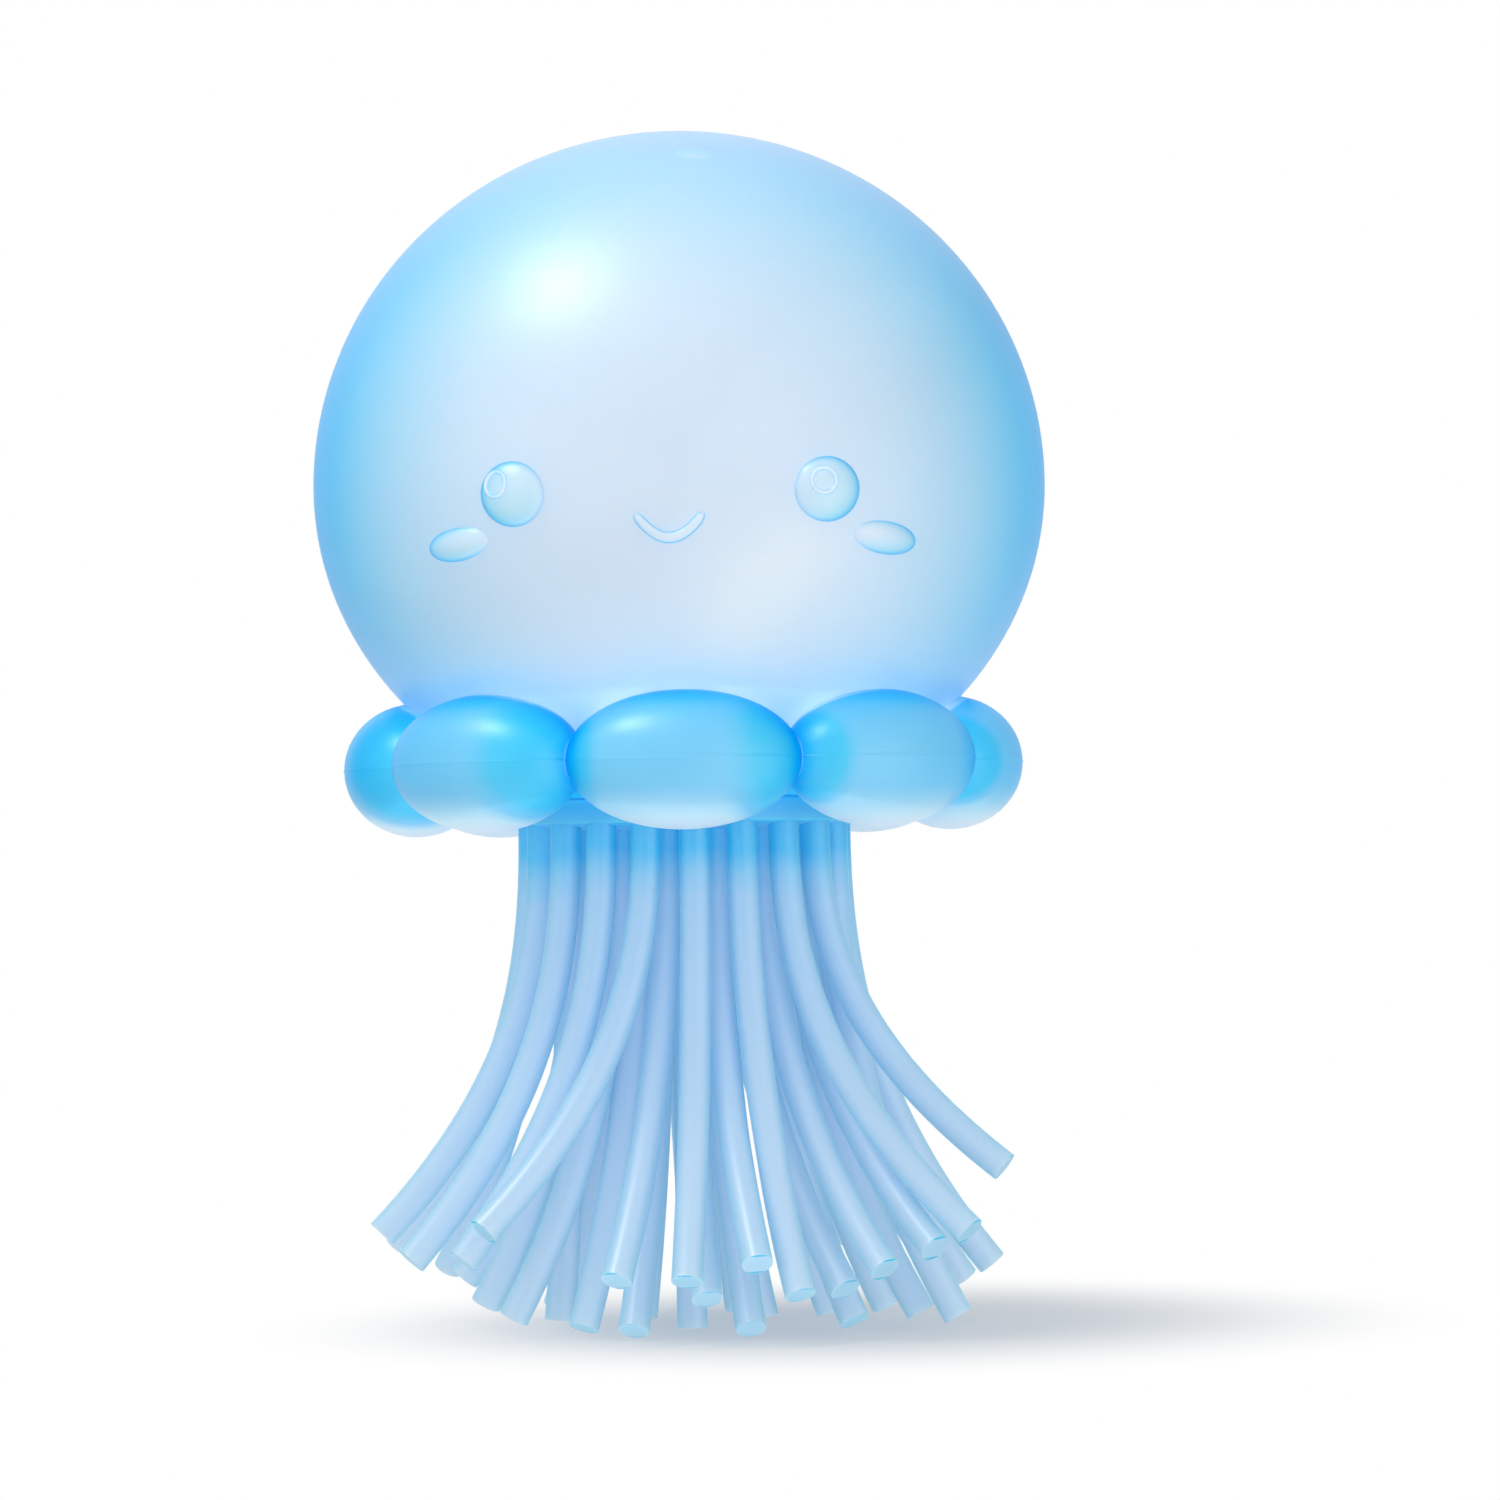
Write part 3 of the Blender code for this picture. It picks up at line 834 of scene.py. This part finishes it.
def frosted_skin_group():
    """Grain and faint cloudiness of frosted rubber: a height and a cloud mask."""
    inputs = (
        ("Cloud Scale", "NodeSocketFloat", 60.0),
        ("Grain Scale", "NodeSocketFloat", 4000.0),
    )
    group = socket_group(
        "Frosted rubber skin", inputs, (("Cloud", "NodeSocketFloat"), ("Height", "NodeSocketFloat"))
    )
    nodes, links = group.nodes, group.links
    source = nodes.new("NodeGroupInput")
    sink = nodes.new("NodeGroupOutput")
    place = nodes.new("ShaderNodeTexCoord")
    cloud = nodes.new("ShaderNodeTexNoise")
    cloud.inputs["Detail"].default_value = 3
    grain = nodes.new("ShaderNodeTexNoise")
    grain.inputs["Detail"].default_value = 2
    links.new(place.outputs["Object"], cloud.inputs["Vector"])
    links.new(place.outputs["Object"], grain.inputs["Vector"])
    links.new(source.outputs["Cloud Scale"], cloud.inputs["Scale"])
    links.new(source.outputs["Grain Scale"], grain.inputs["Scale"])
    links.new(cloud.outputs["Fac"], sink.inputs["Cloud"])
    links.new(grain.outputs["Fac"], sink.inputs["Height"])
    return group


def set_ramp(ramp, stops):
    """Sets a colour ramp's (position, colour) stops."""
    elements = ramp.color_ramp.elements
    while len(elements) > 1:
        elements.remove(elements[-1])
    for i, (position, colour) in enumerate(stops):
        element = elements[0] if i == 0 else elements.new(position)
        element.position = position
        element.color = (*colour, 1)


def frosted_rubber(name, skin, stops, depth_source, film_source, tint, sheen):
    """Translucent frosted rubber whose blue follows a depth value.

    The clear coat is a film of tinted rubber: it hardly shows where it is looked
    through straight, and colours what lies under it where it is looked through at a
    slant, as strongly as the film source says.
    """
    material = bpy.data.materials.new(name)
    material.use_nodes = True
    nodes, links = material.node_tree.nodes, material.node_tree.links
    shader = nodes["Principled BSDF"]
    ramp = nodes.new("ShaderNodeValToRGB")
    set_ramp(ramp, stops)
    texture = nodes.new("ShaderNodeGroup")
    texture.node_tree = skin
    depth = depth_source(nodes, links)
    cloudy = nodes.new("ShaderNodeMath")
    cloudy.operation = "MULTIPLY_ADD"
    links.new(texture.outputs["Cloud"], cloudy.inputs[0])
    cloudy.inputs[1].default_value = CLOUDINESS
    links.new(depth, cloudy.inputs[2])
    links.new(cloudy.outputs["Value"], ramp.inputs["Fac"])
    links.new(ramp.outputs["Color"], shader.inputs["Base Color"])
    bump = nodes.new("ShaderNodeBump")
    bump.inputs["Strength"].default_value = GRAIN_STRENGTH
    bump.inputs["Distance"].default_value = GRAIN_HEIGHT
    links.new(texture.outputs["Height"], bump.inputs["Height"])
    links.new(bump.outputs["Normal"], shader.inputs["Normal"])
    for label, value in RUBBER.items():
        shader.inputs[label].default_value = value
    shader.inputs["Sheen Weight"].default_value = sheen
    shader.inputs["Coat Tint"].default_value = (*tint, 1)
    slant = nodes.new("ShaderNodeLayerWeight")
    slant.inputs["Blend"].default_value = 0.5
    film = nodes.new("ShaderNodeMapRange")
    film.interpolation_type = "SMOOTHSTEP"
    film.inputs["From Max"].default_value = FULL_SLANT
    film.inputs["To Min"].default_value = FILM_STRAIGHT
    film.inputs["To Max"].default_value = FILM_SLANTED
    links.new(slant.outputs["Facing"], film.inputs["Value"])
    strength = nodes.new("ShaderNodeMath")
    strength.operation = "MULTIPLY"
    strength.use_clamp = True
    links.new(film.outputs["Result"], strength.inputs[0])
    film_source(nodes, links, strength.inputs[1])
    links.new(strength.outputs["Value"], shader.inputs["Coat Weight"])
    return material


def stored_value(nodes, name):
    """A value that the piece's mesh stores."""
    layer = nodes.new("ShaderNodeAttribute")
    layer.attribute_name = name
    return layer.outputs["Fac"]


def seam_highlight(nodes, links):
    """How much paler the painted highlight line is where a lobe meets the head or the next lobe."""
    line = nodes.new("ShaderNodeMapRange")
    line.interpolation_type = "SMOOTHSTEP"
    line.inputs["From Min"].default_value = SEAM_FROM
    line.inputs["From Max"].default_value = SEAM_TO
    line.inputs["To Min"].default_value = SEAM_PAINTED_HIGHLIGHT
    line.inputs["To Max"].default_value = 0.0
    links.new(stored_value(nodes, "seam"), line.inputs["Value"])
    return line.outputs["Result"]


def stored_depth(nodes, links):
    """The depth that the bell's mesh stores, less on the painted highlight lines along the seams."""
    depth = nodes.new("ShaderNodeMath")
    depth.operation = "SUBTRACT"
    links.new(stored_value(nodes, "blue_depth"), depth.inputs[0])
    links.new(seam_highlight(nodes, links), depth.inputs[1])
    return depth.outputs["Value"]


def stored_film(nodes, links, socket):
    """The film's strength that the bell's mesh stores."""
    links.new(stored_value(nodes, "film"), socket)


def even_film(nodes, links, socket):
    """A film that is equally thin all over."""
    socket.default_value = STRAND_FILM


def painted_shade_by_height(nodes, links):
    """The depth by the height, with painted light and shade: pale at the tips, where more light
    reaches, and blue at the plug, where the strands crowd under the skirt, with blue rims.
    """
    place = nodes.new("ShaderNodeTexCoord")
    height = nodes.new("ShaderNodeSeparateXYZ")
    links.new(place.outputs["Object"], height.inputs["Vector"])
    # Painted light and shade: paler the farther down from the plug.
    rise = nodes.new("ShaderNodeMapRange")
    rise.inputs["From Max"].default_value = PLUG_BOTTOM
    links.new(height.outputs["Z"], rise.inputs["Value"])
    ends = nodes.new("ShaderNodeMath")
    ends.operation = "MULTIPLY_ADD"
    links.new(stored_value(nodes, "end_rim"), ends.inputs[0])
    ends.inputs[1].default_value = END_RIM_BLUER
    links.new(rise.outputs["Result"], ends.inputs[2])
    return ends.outputs["Value"]


def looked_at(nodes, links):
    """1 where the camera looks, straight, in a gloss or through glass, else 0."""
    path = nodes.new("ShaderNodeLightPath")
    seen = path.outputs["Is Camera Ray"]
    for way in ("Is Glossy Ray", "Is Transmission Ray"):
        both = nodes.new("ShaderNodeMath")
        both.operation = "ADD"
        both.use_clamp = True
        links.new(seen, both.inputs[0])
        links.new(path.outputs[way], both.inputs[1])
        seen = both.outputs["Value"]
    return seen


def stage_white(name):
    """A white floor that keeps the shadow and fades into the white background."""
    material = bpy.data.materials.new(name)
    material.use_nodes = True
    nodes, links = material.node_tree.nodes, material.node_tree.links
    nodes.clear()
    out = nodes.new("ShaderNodeOutputMaterial")
    matt = nodes.new("ShaderNodeBsdfDiffuse")
    matt.inputs["Color"].default_value = (FLOOR_WHITE, FLOOR_WHITE, FLOOR_WHITE, 1)
    glow = nodes.new("ShaderNodeEmission")
    glow.inputs["Color"].default_value = (1, 1, 1, 1)
    both = nodes.new("ShaderNodeAddShader")
    white = nodes.new("ShaderNodeEmission")
    fade = nodes.new("ShaderNodeMixShader")
    place = nodes.new("ShaderNodeTexCoord")
    length = nodes.new("ShaderNodeVectorMath")
    length.operation = "DISTANCE"
    length.inputs[1].default_value = FADE_MIDDLE
    edge = nodes.new("ShaderNodeMapRange")
    edge.interpolation_type = "SMOOTHSTEP"
    edge.inputs["From Min"].default_value = FADE_FROM
    edge.inputs["From Max"].default_value = FADE_TO
    seen = looked_at(nodes, links)
    lift = nodes.new("ShaderNodeMath")
    lift.operation = "MULTIPLY"
    lift.inputs[1].default_value = FLOOR_LIFT
    links.new(seen, lift.inputs[0])
    links.new(lift.outputs["Value"], glow.inputs["Strength"])
    links.new(matt.outputs["BSDF"], both.inputs[0])
    links.new(glow.outputs["Emission"], both.inputs[1])
    far = nodes.new("ShaderNodeMath")
    far.operation = "MULTIPLY"
    links.new(place.outputs["Object"], length.inputs[0])
    links.new(length.outputs["Value"], edge.inputs["Value"])
    links.new(edge.outputs["Result"], far.inputs[0])
    links.new(seen, far.inputs[1])
    links.new(far.outputs["Value"], fade.inputs["Fac"])
    links.new(both.outputs["Shader"], fade.inputs[1])
    links.new(white.outputs["Emission"], fade.inputs[2])
    links.new(fade.outputs["Shader"], out.inputs["Surface"])
    return material


def make_stage():
    """A wide white floor and a white world at a plain level."""
    bpy.ops.mesh.primitive_plane_add(size=6, location=(0, 0, 0))
    floor = bpy.context.object
    floor.name = "floor"
    floor.data.materials.append(stage_white("White floor"))
    world = bpy.data.worlds.new("White studio")
    world.use_nodes = True
    bpy.context.scene.world = world
    nodes, links = world.node_tree.nodes, world.node_tree.links
    nodes.clear()
    out = nodes.new("ShaderNodeOutputWorld")
    mix = nodes.new("ShaderNodeMixShader")
    ambient = nodes.new("ShaderNodeBackground")
    ambient.inputs["Color"].default_value = AMBIENT_COLOUR
    ambient.inputs["Strength"].default_value = AMBIENT_STRENGTH
    white = nodes.new("ShaderNodeBackground")
    white.inputs["Color"].default_value = (1, 1, 1, 1)
    links.new(looked_at(nodes, links), mix.inputs["Fac"])
    links.new(ambient.outputs["Background"], mix.inputs[1])
    links.new(white.outputs["Background"], mix.inputs[2])
    links.new(mix.outputs["Shader"], out.inputs["Surface"])


def add_softbox(name, place, target, size, power, shadow):
    """A square soft light that faces a point. One without a shadow shines through."""
    light = bpy.data.lights.new(name, "AREA")
    light.shape = "SQUARE"
    light.size = size
    light.energy = power
    light.use_shadow = shadow
    lamp = bpy.data.objects.new(name, light)
    bpy.context.scene.collection.objects.link(lamp)
    lamp.location = place
    lamp.rotation_euler = (Vector(target) - Vector(place)).to_track_quat("-Z", "Y").to_euler()


def add_camera():
    """The photograph's viewpoint, with its slight roll."""
    forward = (CAMERA_TARGET - CAMERA_PLACE).normalized()
    level = forward.cross(Vector((0, 0, 1))).normalized()
    upright = level.cross(forward)
    right = level * math.cos(CAMERA_ROLL) - upright * math.sin(CAMERA_ROLL)
    up = level * math.sin(CAMERA_ROLL) + upright * math.cos(CAMERA_ROLL)
    lens = bpy.data.cameras.new("Photograph view")
    lens.lens = CAMERA_LENS
    lens.sensor_width = CAMERA_SENSOR
    lens.clip_start = 0.01
    lens.clip_end = 20
    camera = bpy.data.objects.new("Photograph view", lens)
    bpy.context.scene.collection.objects.link(camera)
    turn = Matrix((right, up, -forward)).transposed().to_4x4()
    camera.matrix_world = Matrix.Translation(CAMERA_PLACE) @ turn
    bpy.context.scene.camera = camera


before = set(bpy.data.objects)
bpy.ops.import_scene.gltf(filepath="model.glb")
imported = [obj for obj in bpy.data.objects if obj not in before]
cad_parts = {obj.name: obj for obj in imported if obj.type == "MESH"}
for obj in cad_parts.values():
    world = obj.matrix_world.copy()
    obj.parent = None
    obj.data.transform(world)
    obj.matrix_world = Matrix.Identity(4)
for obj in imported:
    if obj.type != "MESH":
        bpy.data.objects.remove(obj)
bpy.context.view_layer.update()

tentacles = make_tentacles()
finish_mesh(tentacles, STRAND_CREASE)
bell = make_bell()
finish_mesh(bell, BELL_CREASE)
paint_bell(bell)

skin = frosted_skin_group()
bell_rubber = frosted_rubber(
    "Frosted bell rubber", skin, BELL_COLOURS, stored_depth, stored_film, BELL_TINT, BELL_SHEEN
)
bell.data.materials.append(bell_rubber)
strand_rubber = frosted_rubber(
    "Frosted strand rubber", skin, STRAND_COLOURS, painted_shade_by_height, even_film, STRAND_TINT, STRAND_SHEEN
)
tentacles.data.materials.append(strand_rubber)
for piece, node in ((bell, "bell"), (tentacles, "tentacles")):
    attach(piece, "root")
    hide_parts(node)

make_stage()
for lamp in LAMPS:
    add_softbox(*lamp)
add_camera()
bpy.context.scene.view_settings.view_transform = "Standard"
